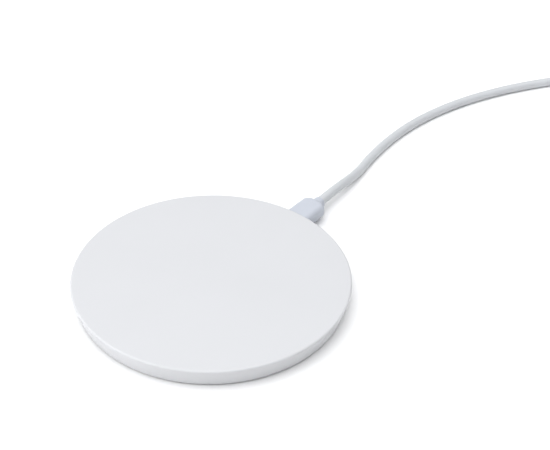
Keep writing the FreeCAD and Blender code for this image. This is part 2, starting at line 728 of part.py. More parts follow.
# ---------------------------------------------------------------- micro USB plug

def latch_window(side):
    """The hole in the plug shell's floor that a latch hook comes through."""
    return block("latch_window", (
        "%d * latch_place - latch_width / 2 - window_gap" % side, "latch_tip - window_gap",
        "port_height - plug_half_height - cut_margin"),
        ("latch_width + 2 * window_gap", "hook_length + 2 * window_gap",
         "cut_margin + plug_wall + window_gap"))


def latch_spring(side):
    """A leaf that runs back into the plug, with a hook down through the shell at its tip."""
    left = "%d * latch_place - latch_width / 2" % side
    leaf_floor = "port_height - plug_half_height + plug_wall + latch_lift"
    leaf = block("leaf", (left, "latch_tip", leaf_floor),
                 ("latch_width", "latch_length", "latch_thick"))
    hook = block("hook", (left, "latch_tip", "port_height - plug_half_height - latch_proud"),
                 ("latch_width", "hook_length",
                  "latch_proud + plug_wall + latch_lift + latch_thick"))
    return fuse("latch_spring", [leaf, hook])


def micro_plug():
    """The plug: shell, insulator, contacts and latches in a rigid core, inside a soft overmould."""
    form = ("plug_half", "plug_half_height", "plug_corner", "plug_wall")
    sleeve = shell_tube("plug_shell_tube", *form, "plug_end", "plug_end - plug_tip")
    windows = group("latch_windows", [latch_window(-1), latch_window(1)])
    shell = node(cut("plug_shell", sleeve, windows), "plug_shell")

    floor = "port_height - plug_half_height + plug_wall"
    contacts = group("plug_contacts", [
        block("plug_contact",
              (x + " - contact_width / 2", "plug_tip + contact_setback", floor + " + plate_thick"),
              ("contact_width", "plug_end - plug_tip", "contact_thick"))
        for x in contact_places(5, "contact_pitch")])
    node(contacts, "plug_contacts")
    latches = group("plug_latch_springs", [latch_spring(-1), latch_spring(1)])
    node(latches, "plug_latch_springs")

    plate = block("plug_plate", ("-plate_half", "plug_tip + plate_setback", floor),
                  ("2 * plate_half", "plug_face - plug_tip", "plate_thick"))
    back = shell_filling("plug_block", *form, "plug_end", "plug_end - plug_face + block_depth")
    solid = fuse("plug_insulator_solid", [plate, back])
    inserts = group("plug_inserts", [contacts, latches])
    insulator = node(cut("plug_insulator", solid, inserts), "plug_insulator")

    core = block("core_block", ("-core_half_width", "plug_face + core_start",
                                "port_height - core_half_height"),
                 ("2 * core_half_width", "mould_core - core_start", "2 * core_half_height"))
    inner = group("core_inserts", [shell, insulator, contacts, latches])
    node(cut("plug_inner_mould", core, inner), "plug_inner_mould")
    bore_start = Vector(0, size("plug_face") + size("mould_core"), size("port_height"))
    bore = rod("cord_bore", "cord_radius", "mould_length", bore_start, Vector(0, 1, 0))
    cavity = group("plug_cavity", [shell, insulator, contacts, latches, core, bore])
    node(cut("plug_overmould", plug_outer(), cavity), "plug_overmould")


def soft_grip(label, half, half_height, middle, front, back, rear_half, slope, edge):
    """A soft grip round a plug: its long edges are rounded, and it narrows at its rear."""
    body = new_body(label)
    item = new_sketch(body, "XY", "%s - %s" % (middle, half_height))
    shoulder = "%s - (%s)" % (back, slope)
    draw_outline(item, [("-" + half, front), (half, front), (half, shoulder), (rear_half, back),
                        ("-" + rear_half, back), ("-" + half, shoulder)])
    extrude(body, item, "2 * " + half_height)
    mouth = size(front)
    dress(body, "Fillet", edge,
          lambda e: e.BoundBox.YLength > NEAR or abs(e.BoundBox.YMin - mouth) > NEAR)
    return body


def plug_outer():
    """The overmould's outside, with the short collar that the cord leaves by."""
    grip = soft_grip("plug_grip", "mould_half_width", "mould_half_height", "port_height",
                     "plug_face", MOULD_END, "mould_rear_half", "mould_slope", "mould_edge")
    along = Vector(0, 1, 0)
    start = Vector(0, size(MOULD_END + " - strain_root"), size("port_height"))
    collar = rod("plug_collar", "strain_radius", "strain_length + strain_root", start, along,
                 "strain_end")
    lip_start = Vector(0, size(MOULD_END + " + strain_length"), size("port_height"))
    lip = rod("plug_collar_lip", "strain_end", "strain_lip", lip_start, along, "strain_mouth")
    return fuse("plug_outer", [grip, collar, lip])


# ---------------------------------------------------------------- cord

def arc_radii(points):
    """The radius of each corner's arc, which takes up the same share of the shorter run beside it."""
    radii = []
    for before, corner, after in zip(points, points[1:], points[2:]):
        turn = (corner - before).getAngle(after - corner)
        shorter = min((corner - before).Length, (after - corner).Length)
        radii.append(BEND_SHARE * shorter / math.tan(turn / 2))
    return radii


def cord_tube(label, points):
    """A length of the cord through the points, and a check of its volume and bends."""
    radii = arc_radii(points)
    edges = smooth_wire(points, radii)
    item = doc.addObject("Part::Feature", label)
    item.Shape = tube(edges, size("cord_radius"))
    item.Placement = Placement()
    length = sum(edge.Length for edge in edges)
    ratio = item.Shape.Volume / (math.pi * size("cord_radius") ** 2 * length)
    print("%s: %.1f mm long, volume ratio %.4f, arc radii %s"
          % (label, length, ratio, [round(r) for r in radii]))
    return node(item, label)


def arrival():
    """The heading that the cord arrives at the coil on."""
    return (ROUTE[-1] - ROUTE[-2]).normalize()


def coil_centre():
    """The centre of the coil, to the right of the arriving cord."""
    heading = arrival()
    right = Vector(heading.y, -heading.x, 0)
    centre = ROUTE[-1] + heading * size("coil_stub") + right * size("coil_middle + 2 * cord_radius")
    return Vector(centre.x, centre.y, 0)


def cord_tie(centre):
    """A soft strap round the coil's turns."""
    body = new_body("cord_tie")
    inner, outer = "coil_middle - 3 * cord_radius", "coil_middle + 3 * cord_radius"
    item = new_sketch(body, "XZ")
    draw_box(item, inner + " - tie_thick", "0", outer + " + tie_thick",
             "4 * cord_radius + tie_rise + tie_thick")
    draw_box(item, inner, "tie_thick", outer, "4 * cord_radius + tie_rise")
    extrude(body, item, "tie_width", midplane=True)
    along = Vector(0, 1, 0)
    top = size("4 * cord_radius + tie_rise + tie_thick")

    def outside(e):
        return min(abs(e.BoundBox.ZMin), abs(e.BoundBox.ZMin - top)) < NEAR

    dress(body, "Fillet", "tie_round", lambda e: runs_along(e, along) and outside(e))
    dress(body, "Fillet", "tie_round - tie_thick",
          lambda e: runs_along(e, along) and is_corner(e, size(inner), size(outer)))
    place(body, centre, TIE_ANGLE)
    return node(body, "cord_tie")


def cord_coil(centre, tie):
    """The outer shape of the put-away turns, with the stubs that the cord's ends run into."""
    body = new_body("coil_ring")
    item = new_sketch(body, "XZ")
    draw_box(item, "coil_middle - 3 * cord_radius", "0",
             "coil_middle + 3 * cord_radius", "4 * cord_radius")
    revolve(body, item)
    dress(body, "Fillet", "coil_round", lambda e: isinstance(e.Curve, Part.Circle))
    place(body, centre)
    stub_in = rod("stub_in", "cord_radius", "coil_stub", ROUTE[-1], arrival())
    top_turn = centre + Vector(size("coil_middle + 2 * cord_radius"), 0, TAIL[0][1])
    stub_out = rod("stub_out", "cord_radius", "coil_stub", top_turn, Vector(0, -1, 0))
    solid = fuse("coil_solid", [body, stub_in, stub_out])
    node(cut("cord_coil", solid, tie), "cord_coil")
    return top_turn - Vector(0, size("coil_stub"), TAIL[0][1])


# ---------------------------------------------------------------- USB-A plug

def usb_a_plug(origin):
    """The plug at the cord's far end, built along its own +Y from the cord's entry."""
    sleeve_length = "usb_strain_length + usb_length + usb_shell_length - usb_shell_start"
    shell_end = "usb_strain_length + usb_length + usb_shell_length"
    half, half_height, wall = "usb_shell_half", "usb_shell_half_height", "usb_shell_wall"
    outside = block("usb_shell_block", ("-" + half, "usb_shell_start", "-" + half_height),
                    ("2 * " + half, sleeve_length, "2 * " + half_height))
    room = ("2 * (%s - %s)" % (half, wall), sleeve_length, "2 * (%s - %s)" % (half_height, wall))
    low = ("-%s + %s" % (half, wall), "usb_shell_start", "-%s + %s" % (half_height, wall))
    inside = block("usb_shell_room", low, room)
    windows = [block("usb_window_hole",
                     ("%d * usb_window_place - usb_window / 2" % side, "usb_window_start",
                      "-usb_shell_half_height - cut_margin"),
                     ("usb_window", "usb_window", "2 * (usb_shell_half_height + cut_margin)"))
               for side in (-1, 1)]
    shell = cut("usb_shell_solid", outside, group("usb_shell_holes", [inside] + windows))

    tongue_top = "(-%s + %s + usb_tongue)" % (half_height, wall)
    contacts = group("usb_contact_row", [
        block("usb_contact",
              (x + " - usb_contact_width / 2", "usb_shell_start - usb_contact_tail", tongue_top),
              ("usb_contact_width", sleeve_length, "usb_contact_thick"))
        for x in contact_places(4, "usb_contact_pitch")])
    block_length = "usb_block_end - usb_shell_start"
    back = block("usb_block", low, (room[0], block_length, room[2]))
    tongue = block("usb_tongue_block", low,
                   (room[0], sleeve_length + " - usb_tongue_setback", "usb_tongue"))
    insulator = cut("usb_insulator_cut", fuse("usb_insulator_solid", [back, tongue]), contacts)

    core = block("usb_core_block", ("-usb_core_half", "usb_core_start", "-usb_core_half_height"),
                 ("2 * usb_core_half", "usb_core_end - usb_core_start", "2 * usb_core_half_height"))
    inner = cut("usb_core_cut", core, group("usb_core_inserts", [shell, insulator, contacts]))

    grip = soft_grip("usb_grip", "usb_half_width", "usb_half_height", "0",
                     "usb_strain_length + usb_length", "usb_strain_length", "usb_rear_half",
                     "-usb_slope", "usb_edge")
    collar = rod("usb_collar", "usb_strain_end", "usb_strain_length + strain_root",
                 Vector(0, 0, 0), Vector(0, 1, 0), "usb_strain_radius")
    bore = rod("usb_bore", "cord_radius", "usb_core_start", Vector(0, 0, 0), Vector(0, 1, 0))
    cavity = group("usb_cavity", [shell, insulator, contacts, core, bore])
    overmould = cut("usb_overmould_cut", fuse("usb_outer", [grip, collar]), cavity)

    for label, item in (("usb_a_shell", shell), ("usb_a_insulator", insulator),
                        ("usb_a_contacts", contacts), ("usb_a_inner_mould", inner),
                        ("usb_a_overmould", overmould)):
        placed = group(label, [item])
        place(placed, origin, 180.0)
        node(placed, label)


# ---------------------------------------------------------------- the whole pad

def build():
    top_cover()
    base_plate()
    rubber_feet()
    base_screws()
    coil_adhesive()
    coil = charging_coil()
    ferrite_plate()
    solder_joints(coil)
    circuit_board()
    components()
    status_light()
    micro_socket()
    micro_plug()

    cord_tube("cord_run", ROUTE)
    centre = coil_centre()
    tie = cord_tie(centre)
    tail_start = cord_coil(centre, tie)
    cord_tube("cord_tail", [tail_start + Vector(0, -along, height) for along, height in TAIL])
    usb_a_plug(tail_start + Vector(0, -USB_DISTANCE, TAIL[-1][1]))


def export():
    """Check every object and every sub-part, then write one file per sub-part."""
    doc.recompute()
    for item in doc.Objects:
        if "Invalid" in item.State or "Error" in item.State:
            raise RuntimeError("failed: %s %s" % (item.Label, item.State))
    os.makedirs("parts", exist_ok=True)
    for item in nodes:
        shape = item.Shape
        if shape.isNull() or not shape.isValid() or not shape.Solids:
            raise RuntimeError("bad shape: " + item.Label)
        shape.exportStep("parts/%s.step" % item.Label)
        print("%s: %d solids, %.1f mm3" % (item.Label, len(shape.Solids), shape.Volume))


fill_sheet()
build()
export()
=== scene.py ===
import math

import bmesh
import bpy
from mathutils import Matrix, Vector


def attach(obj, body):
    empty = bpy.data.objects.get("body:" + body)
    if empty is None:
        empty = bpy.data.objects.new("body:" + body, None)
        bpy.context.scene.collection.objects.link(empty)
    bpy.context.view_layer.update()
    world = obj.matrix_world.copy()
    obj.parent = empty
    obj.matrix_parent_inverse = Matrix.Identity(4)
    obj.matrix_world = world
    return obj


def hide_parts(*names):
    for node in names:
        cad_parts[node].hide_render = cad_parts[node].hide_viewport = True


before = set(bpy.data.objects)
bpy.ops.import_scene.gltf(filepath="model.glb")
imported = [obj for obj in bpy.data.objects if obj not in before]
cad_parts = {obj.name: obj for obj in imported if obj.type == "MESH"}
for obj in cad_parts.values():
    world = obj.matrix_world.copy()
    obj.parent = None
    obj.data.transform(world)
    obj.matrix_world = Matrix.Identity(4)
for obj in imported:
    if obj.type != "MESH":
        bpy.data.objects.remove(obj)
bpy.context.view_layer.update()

# A round wireless charging pad with its cord, on a pale surface. Metres, in the CAD model's frame:
# the pad's centre stands on the origin and its socket faces +Y.

MM = 0.001


def bearing_vector(bearing, rise):
    """A unit vector from two angles in degrees: bearing, from +X towards +Y, and rise."""
    turn, tilt = math.radians(bearing), math.radians(rise)
    level = math.cos(tilt)
    return Vector((math.cos(turn) * level, math.sin(turn) * level, math.sin(tilt)))


# ---------------------------------------------------------------- camera

# Degrees: the bearing of the picture's right side, how far the camera looks down, and its roll.
AZIMUTH, ELEVATION, ROLL = 37.2, 36.46, 1.60
# Where the camera aims, measured in the picture's plane from the origin, and how far back it is.
AIM_RIGHT, AIM_UP = 0.02269, 0.02437
DISTANCE = 0.4503
LENS, SENSOR = 81.95, 36.0


def add_camera():
    """Look down on the pad from its front right."""
    roll = math.radians(ROLL)
    level = bearing_vector(AZIMUTH, 0)
    forward = bearing_vector(AZIMUTH + 90, -ELEVATION)
    upright = level.cross(forward)
    right = math.cos(roll) * level + math.sin(roll) * upright
    up = math.cos(roll) * upright - math.sin(roll) * level
    place = AIM_RIGHT * right + AIM_UP * up - DISTANCE * forward
    data = bpy.data.cameras.new("camera")
    data.lens, data.sensor_width = LENS, SENSOR
    camera = bpy.data.objects.new("camera", data)
    axes = Matrix((right, up, -forward)).transposed().to_4x4()
    camera.matrix_world = Matrix.Translation(place) @ axes
    bpy.context.scene.collection.objects.link(camera)
    bpy.context.scene.camera = camera


# ---------------------------------------------------------------- materials

def start_material(name):
    """A new node material, its node tree and its shader."""
    material = bpy.data.materials.new(name)
    material.use_nodes = True
    return material, material.node_tree, material.node_tree.nodes["Principled BSDF"]


def add_node(tree, kind, inputs=(), **settings):
    """Add a node, set its fields, and set or link its inputs."""
    made = tree.nodes.new(kind)
    for field, value in settings.items():
        setattr(made, field, value)
    for socket, value in dict(inputs).items():
        if isinstance(value, bpy.types.NodeSocket):
            tree.links.new(value, made.inputs[socket])
        else:
            made.inputs[socket].default_value = value
    return made


def grain(tree, size, stretch=(1, 1, 1), detail=2.0, rough=0.5):
    """A noise pattern whose spots are about the given size in metres, stretched per axis."""
    where = add_node(tree, "ShaderNodeTexCoord")
    spread = add_node(tree, "ShaderNodeMapping", {
        "Vector": where.outputs["Object"], "Scale": stretch,
    })
    return add_node(tree, "ShaderNodeTexNoise", {
        "Vector": spread.outputs["Vector"], "Scale": 1 / size,
        "Detail": detail, "Roughness": rough,
    }).outputs["Fac"]


# Most of a noise pattern's values lie between these.
NOISE_LOW, NOISE_HIGH = 0.35, 0.65


def blend_range(tree, source, low, high, start=NOISE_LOW, end=NOISE_HIGH):
    """Turn a pattern into numbers from low to high."""
    return add_node(tree, "ShaderNodeMapRange", {
        "Value": source, "From Min": start, "From Max": end, "To Min": low, "To Max": high,
    }).outputs["Result"]


def blend_colours(tree, source, first, second, start=NOISE_LOW, end=NOISE_HIGH):
    """Turn a pattern into colours between two."""
    ramp = add_node(tree, "ShaderNodeValToRGB", {"Fac": source})
    ramp.color_ramp.elements[0].position = start
    ramp.color_ramp.elements[1].position = end
    ramp.color_ramp.elements[0].color = (*first, 1)
    ramp.color_ramp.elements[1].color = (*second, 1)
    return ramp.outputs["Color"]


def bump(tree, shader, source, depth, before=None):
    """Raise the surface by a pattern; depth is in metres."""
    inputs = {"Height": source, "Distance": depth, "Strength": 1.0}
    if before is not None:
        inputs["Normal"] = before
    made = add_node(tree, "ShaderNodeBump", inputs).outputs["Normal"]
    tree.links.new(made, shader.inputs["Normal"])
    return made


# On moulded surfaces the gloss specks are this many pits wide, and the waves this many deep.
SPECK_PITS, WAVE_PITS = 3, 4
WAVE_WIDTH = 12 * MM


def moulded(name, colour, spread, patch, rough, pit=0.35 * MM, depth=0.006 * MM, specular=0.4):
    """Moulded plastic or rubber: a fine even grain, and colour and gloss that drift slowly.

    The colour drifts by spread over patches of the given size, and pit and depth are the grain's.
    """
    material, tree, shader = start_material(name)
    low = [c * (1 - spread) for c in colour]
    high = [min(1.0, c * (1 + spread)) for c in colour]
    drift = grain(tree, patch)
    tree.links.new(blend_colours(tree, drift, low, high), shader.inputs["Base Color"])
    speckle = grain(tree, pit * SPECK_PITS, detail=3.0)
    tree.links.new(blend_range(tree, speckle, *rough), shader.inputs["Roughness"])
    wave = bump(tree, shader, grain(tree, WAVE_WIDTH), depth * WAVE_PITS)
    bump(tree, shader, grain(tree, pit, detail=1.0), depth, wave)
    shader.inputs["Specular IOR Level"].default_value = specular
    return material


# A metal's drawn lines: their width, their depth, and the share of the colour left in them.
LINE_WIDTH, LINE_DEPTH, LINE_TONE = 1.5 * MM, 0.002 * MM, 0.86


def metal(name, colour, rough=(0.18, 0.34), along=(1, 12, 12)):
    """Plated or drawn metal with faint lines along one axis."""
    material, tree, shader = start_material(name)
    lines = grain(tree, LINE_WIDTH, along, detail=4.0, rough=0.7)
    dull = [c * LINE_TONE for c in colour]
    tree.links.new(blend_colours(tree, lines, dull, colour), shader.inputs["Base Color"])
    tree.links.new(blend_range(tree, lines, rough[1], rough[0]), shader.inputs["Roughness"])
    bump(tree, shader, lines, LINE_DEPTH)
    shader.inputs["Metallic"].default_value = 1.0
    return material


TRACK_WIDTH, TRACK_DEPTH = 2.1 * MM, 0.02 * MM


def board_laminate():
    """Green solder resist over a mesh of copper tracks."""
    material, tree, shader = start_material("board_laminate")
    where = add_node(tree, "ShaderNodeTexCoord")
    tracks = add_node(tree, "ShaderNodeTexBrick", {
        "Vector": where.outputs["Object"], "Scale": 1 / TRACK_WIDTH, "Mortar Size": 0.10,
        "Brick Width": 1.7, "Row Height": 0.45,
        "Color1": (0.030, 0.150, 0.080, 1), "Color2": (0.026, 0.130, 0.070, 1),
        "Mortar": (0.055, 0.240, 0.120, 1),
    })
    tree.links.new(tracks.outputs["Color"], shader.inputs["Base Color"])
    tree.links.new(blend_range(tree, grain(tree, 2 * MM), 0.22, 0.36), shader.inputs["Roughness"])
    bump(tree, shader, tracks.outputs["Fac"], TRACK_DEPTH)
    shader.inputs["Coat Weight"].default_value = 0.4
    return material


STRAND_WIDTH, STRAND_DEPTH = 1.6 * MM, 0.03 * MM


def litz_copper():
    """Enamelled copper strands, seen as fine slanted lines."""
    material, tree, shader = start_material("litz_copper")
    where = add_node(tree, "ShaderNodeTexCoord")
    strands = add_node(tree, "ShaderNodeTexWave", {
        "Vector": where.outputs["Object"], "Scale": 1 / STRAND_WIDTH,
        "Distortion": 1.5, "Detail": 2.0,
    }, bands_direction="DIAGONAL").outputs["Fac"]
    tone = blend_colours(tree, strands, (0.42, 0.16, 0.06), (0.80, 0.40, 0.20), 0.1, 0.9)
    tree.links.new(tone, shader.inputs["Base Color"])
    tree.links.new(blend_range(tree, strands, 0.45, 0.28, 0, 1), shader.inputs["Roughness"])
    bump(tree, shader, strands, STRAND_DEPTH)
    shader.inputs["Metallic"].default_value = 0.8
    return material


WARP_PITCH, WEFT_PITCH, THREAD_DEPTH = 3.5 * MM, 4.2 * MM, 0.10 * MM
FUZZ_SIZE, FUZZ_DEPTH = 0.4 * MM, 0.04 * MM


def woven_strap(turn):
    """A woven strap: fine lines across and along it, with a dull, fuzzy surface."""
    material, tree, shader = start_material("woven_strap")
    where = add_node(tree, "ShaderNodeTexCoord")
    face = add_node(tree, "ShaderNodeMapping", {
        "Vector": where.outputs["Object"], "Rotation": (0, 0, -turn),
    })
    warp = add_node(tree, "ShaderNodeTexWave", {
        "Vector": face.outputs["Vector"], "Scale": 1 / WARP_PITCH, "Distortion": 0.4,
    }, bands_direction="Y")
    weft = add_node(tree, "ShaderNodeTexWave", {
        "Vector": face.outputs["Vector"], "Scale": 1 / WEFT_PITCH, "Distortion": 0.4,
    }, bands_direction="X")
    cross = add_node(tree, "ShaderNodeMath", {
        0: warp.outputs["Fac"], 1: weft.outputs["Fac"],
    }, operation="MULTIPLY").outputs["Value"]
    fuzz = grain(tree, FUZZ_SIZE, detail=4.0)
    tone = blend_colours(tree, cross, (0.40, 0.41, 0.43), (0.66, 0.67, 0.70), 0.0, 0.8)
    tree.links.new(tone, shader.inputs["Base Color"])
    tree.links.new(blend_range(tree, fuzz, 0.78, 0.95), shader.inputs["Roughness"])
    first = bump(tree, shader, cross, THREAD_DEPTH)
    bump(tree, shader, fuzz, FUZZ_DEPTH, first)
    shader.inputs["Sheen Weight"].default_value = 0.5
    return material


def clear_acrylic():
    """Clear, slightly frosted acrylic."""
    material, tree, shader = start_material("clear_acrylic")
    haze = grain(tree, 0.8 * MM, detail=3.0)
    tone = blend_colours(tree, haze, (0.86, 0.89, 0.93), (0.96, 0.97, 0.99))
    tree.links.new(tone, shader.inputs["Base Color"])
    tree.links.new(blend_range(tree, haze, 0.10, 0.22), shader.inputs["Roughness"])
    shader.inputs["Transmission Weight"].default_value = 0.85
    shader.inputs["IOR"].default_value = 1.49
    return material


SPOT_DEPTH = 0.01 * MM


def speckled(name, first, second, spot, rough):
    """A sintered or printed material with two tones of fine spots."""
    material, tree, shader = start_material(name)
    spots = grain(tree, spot, detail=5.0, rough=0.7)
    tree.links.new(blend_colours(tree, spots, first, second), shader.inputs["Base Color"])
    tree.links.new(blend_range(tree, spots, *rough), shader.inputs["Roughness"])
    bump(tree, shader, spots, SPOT_DEPTH)
    return material


COVER_COLOUR = (0.618, 0.624, 0.641)
PLUG_COLOUR = (0.522, 0.549, 0.608)
CORD_COLOUR = (0.575, 0.592, 0.612)


def paint_nodes():
    """Give every CAD node its material."""
    cover = moulded("satin_cover", COVER_COLOUR, spread=0.006, patch=30 * MM, rough=(0.40, 0.48))
    base = moulded("base_plastic", (0.70, 0.71, 0.73), spread=0.01, patch=20 * MM,
                   rough=(0.50, 0.62), pit=0.6 * MM, depth=0.010 * MM)
    silicone = moulded("silicone", (0.55, 0.56, 0.58), spread=0.02, patch=6 * MM,
                       rough=(0.62, 0.78), pit=0.5 * MM, depth=0.010 * MM, specular=0.3)
    plug = moulded("soft_vinyl", PLUG_COLOUR, spread=0.01, patch=6 * MM,
                   rough=(0.44, 0.54), pit=0.4 * MM, depth=0.008 * MM)
    white = moulded("white_core", (0.80, 0.80, 0.80), spread=0.01, patch=4 * MM, rough=(0.45, 0.6))
    black = moulded("black_nylon", (0.02, 0.02, 0.022), spread=0.10, patch=2 * MM,
                    rough=(0.40, 0.55), pit=0.2 * MM)
    resin = moulded("chip_resin", (0.018, 0.018, 0.020), spread=0.12, patch=2 * MM,
                    rough=(0.50, 0.65), pit=0.2 * MM)
    film = moulded("adhesive_film", (0.72, 0.68, 0.56), spread=0.04, patch=8 * MM,
                   rough=(0.25, 0.40), pit=1.0 * MM)
    lamp = moulded("lamp_resin", (0.90, 0.86, 0.55), spread=0.05, patch=1 * MM,
                   rough=(0.15, 0.25), pit=0.4 * MM)
    ferrite = speckled("sintered_ferrite", (0.030, 0.030, 0.032), (0.070, 0.068, 0.066),
                       spot=0.6 * MM, rough=(0.55, 0.75))
    ceramic = speckled("tan_ceramic", (0.40, 0.26, 0.15), (0.50, 0.34, 0.21),
                       spot=0.5 * MM, rough=(0.35, 0.5))
    steel = metal("nickel_plate", (0.50, 0.50, 0.495))
    zinc = metal("zinc_screw", (0.52, 0.53, 0.55), rough=(0.30, 0.45), along=(12, 12, 1))
    solder = metal("solder", (0.66, 0.67, 0.68), rough=(0.22, 0.40), along=(1, 1, 1))
    gold = metal("gold_flash", (0.90, 0.66, 0.28), rough=(0.20, 0.30), along=(12, 1, 12))
    finishes = {
        cover: ["top_cover"],
        base: ["base_plate"],
        silicone: ["rubber_feet"],
        plug: ["plug_overmould", "usb_a_overmould"],
        white: ["plug_inner_mould", "usb_a_inner_mould", "usb_a_insulator"],
        black: ["plug_insulator", "usb_socket_insulator"],
        resin: ["controller_chip", "bridge_transistors", "chip_resistors"],
        film: ["coil_adhesive"],
        lamp: ["status_led"],
        ferrite: ["ferrite_plate", "input_inductor"],
        ceramic: ["resonant_capacitors", "input_capacitors"],
        steel: ["usb_socket_shell", "plug_shell", "plug_latch_springs", "usb_a_shell"],
        zinc: ["base_screws"],
        solder: ["coil_solder_joints"],
        gold: ["plug_contacts", "usb_socket_contacts", "usb_a_contacts"],
        litz_copper(): ["charging_coil"],
        board_laminate(): ["circuit_board"],
        clear_acrylic(): ["light_pipe"],
    }
    for material, names in finishes.items():
        for name in names:
            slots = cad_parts[name].data.materials
            slots.clear()
            slots.append(material)


# ---------------------------------------------------------------- cord

CORD_RADIUS = 1.85 * MM
# The route's points, from the plug to the start of the coil. They are the CAD model's, but for the
# second: it is nearer and higher, because the cord rises a little behind its collar.
ROUTE = [
    (0.0, 0.0600, 0.0045), (0.0, 0.0740, 0.0054), (-0.0020, 0.0930, 0.0023),
    (-0.0048, 0.1056, 0.0019), (-0.0066, 0.1221, 0.00185), (-0.0064, 0.1386, 0.00185),
    (-0.0039, 0.1556, 0.00185), (0.0017, 0.1751, 0.00185), (0.0112, 0.1958, 0.00185),
    (0.0230, 0.2145, 0.00185), (0.0317, 0.2248, 0.00185),
]
# The tail after the coil, as (distance from the coil's stub along -Y, height).
TAIL = [(0.0090, 0.00555), (0.0215, 0.0040), (0.0340, 0.0040)]
# The middle radius of the coil's turns, and the straight stubs before and after them.
COIL_MIDDLE = 21.8 * MM
COIL_STUB = 15.0 * MM
# The coil makes these full turns and goes on to where its tail leaves it.
FULL_TURNS, STEPS_A_TURN = 5, 20
# Where its shifts end, in degrees of travel: inwards by a cord's width twice, up to the second
# layer once, and outwards twice. Each shift takes the same arc.
INWARD_ENDS, RISE_END, OUTWARD_ENDS = (360, 720), 1035, (1350, 1710)
SHIFT_ARC = 45
# The tie lifts the turns off the surface: fully up to TIE_NEAR degrees from it on each side, and
# not at all from TIE_FAR on.
TIE_BEARING = math.radians(70.0)
TIE_RISE = 0.55 * MM
TIE_NEAR, TIE_FAR = 16, 48


def coil_place():
    """The heading that the cord arrives on, and the coil's centre to the right of it."""
    last, before = Vector(ROUTE[-1]), Vector(ROUTE[-2])
    heading = (last - before).normalized()
    right = Vector((heading.y, -heading.x, 0))
    centre = last + heading * COIL_STUB + right * (COIL_MIDDLE + 2 * CORD_RADIUS)
    return heading, Vector((centre.x, centre.y, 0))


def ease(value, start, end):
    """0 before start, 1 after end, and smooth between."""
    t = min(1.0, max(0.0, (value - start) / (end - start)))
    return t * t * (3 - 2 * t)


def shift(travel, end):
    """The share of one shift that is done after this much travel."""
    return ease(travel, end - SHIFT_ARC, end)


def coil_points():
    """Two layers of three turns: inwards on the surface, up at the inside, and outwards on top.

    The spline touches the middles of its polygon's sides, so the corners are set further out.
    """
    heading, centre = coil_place()
    first = math.pi - math.atan2(heading.x, heading.y)
    whole = FULL_TURNS * 360 + math.degrees(first)
    steps = round(whole / 360 * STEPS_A_TURN)
    step = whole / steps
    spread = 1 / math.cos(math.radians(step / 2))
    pitch = 2 * CORD_RADIUS
    points = []
    for k in range(steps + 2):
        travel = (k - 0.5) * step
        inward = sum(shift(travel, end) for end in INWARD_ENDS)
        outward = sum(shift(travel, end) for end in OUTWARD_ENDS)
        radius = COIL_MIDDLE + pitch * (1 - inward + outward)
        height = CORD_RADIUS + pitch * shift(travel, RISE_END)
        bearing = first - math.radians(travel)
        off = abs((bearing - TIE_BEARING + math.pi) % (2 * math.pi) - math.pi)
        height += TIE_RISE * (1 - ease(math.degrees(off), TIE_NEAR, TIE_FAR))
        points.append(centre + Vector((
            radius * spread * math.cos(bearing), radius * spread * math.sin(bearing), height)))
    return points


def cord_points():
    """Every control point of the cord: the route, the coil and the tail."""
    centre = coil_place()[1]
    outer = COIL_MIDDLE + 2 * CORD_RADIUS
    tail = [Vector((centre.x + outer, centre.y - COIL_STUB - along, height))
            for along, height in TAIL]
    return [Vector(p) for p in ROUTE] + coil_points() + tail


def add_cord():
    """The cord on one smooth spline, from the plug's core to the USB-A plug's core."""
    curve = bpy.data.curves.new("cord", "CURVE")
    curve.dimensions = "3D"
    curve.bevel_depth = CORD_RADIUS
    curve.bevel_resolution = 7
    curve.use_fill_caps = True
    spline = curve.splines.new("NURBS")
    spline.resolution_u = 8
    points = cord_points()
    spline.points.add(len(points) - 1)
    for slot, point in zip(spline.points, points):
        slot.co = (*point, 1)
    # These two are set last, because they hold only once the points are there.
    spline.order_u = 3
    spline.use_endpoint_u = True
    cord = bpy.data.objects.new("cord", curve)
    bpy.context.scene.collection.objects.link(cord)
    curve.materials.append(moulded(
        "cord_jacket", CORD_COLOUR, spread=0.015, patch=10 * MM,
        rough=(0.34, 0.44), pit=0.8 * MM, depth=0.008 * MM, specular=0.45))
    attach(cord, "plug_and_cord")
    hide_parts("cord_run", "cord_coil", "cord_tail")
    return cord


# ---------------------------------------------------------------- strap round the coil

STRAP_WIDTH, STRAP_THICK = 7.0 * MM, 0.5 * MM
# Its long edges are rounded over this width, its outer face is raised along the middle by this
# factor, and its loose end is narrower by this one.
STRAP_EDGE, STRAP_CROWN, STRAP_TIP = 0.2 * MM, 1.04, 0.72
# Its bends round the turns, and the clearances below it and between the turns' top and it.
CORNER_RADIUS, CORNER_STEPS = 1.2 * MM, 6
FLOOR_GAP, TOP_GAP = 0.02 * MM, 0.03 * MM
# On top, the first layer starts this far from the inner side, and the second laps over it through
# these places, as (distance from the inner side, height above the first layer).
LAP_START = 5.2 * MM
LAP = [(7.4 * MM, 0.02 * MM), (5.0 * MM, 0.49 * MM), (2.2 * MM, 0.52 * MM)]


def corner_points(x, z, start):
    """A quarter turn inside the corner at (x, z), from the given angle in degrees."""
    middle = math.radians(start + 45)
    cx = x - math.copysign(CORNER_RADIUS, math.cos(middle))
    cz = z - math.copysign(CORNER_RADIUS, math.sin(middle))
    turns = [math.radians(start + 90 * k / CORNER_STEPS) for k in range(CORNER_STEPS + 1)]
    return [(cx + CORNER_RADIUS * math.cos(t), cz + CORNER_RADIUS * math.sin(t)) for t in turns]


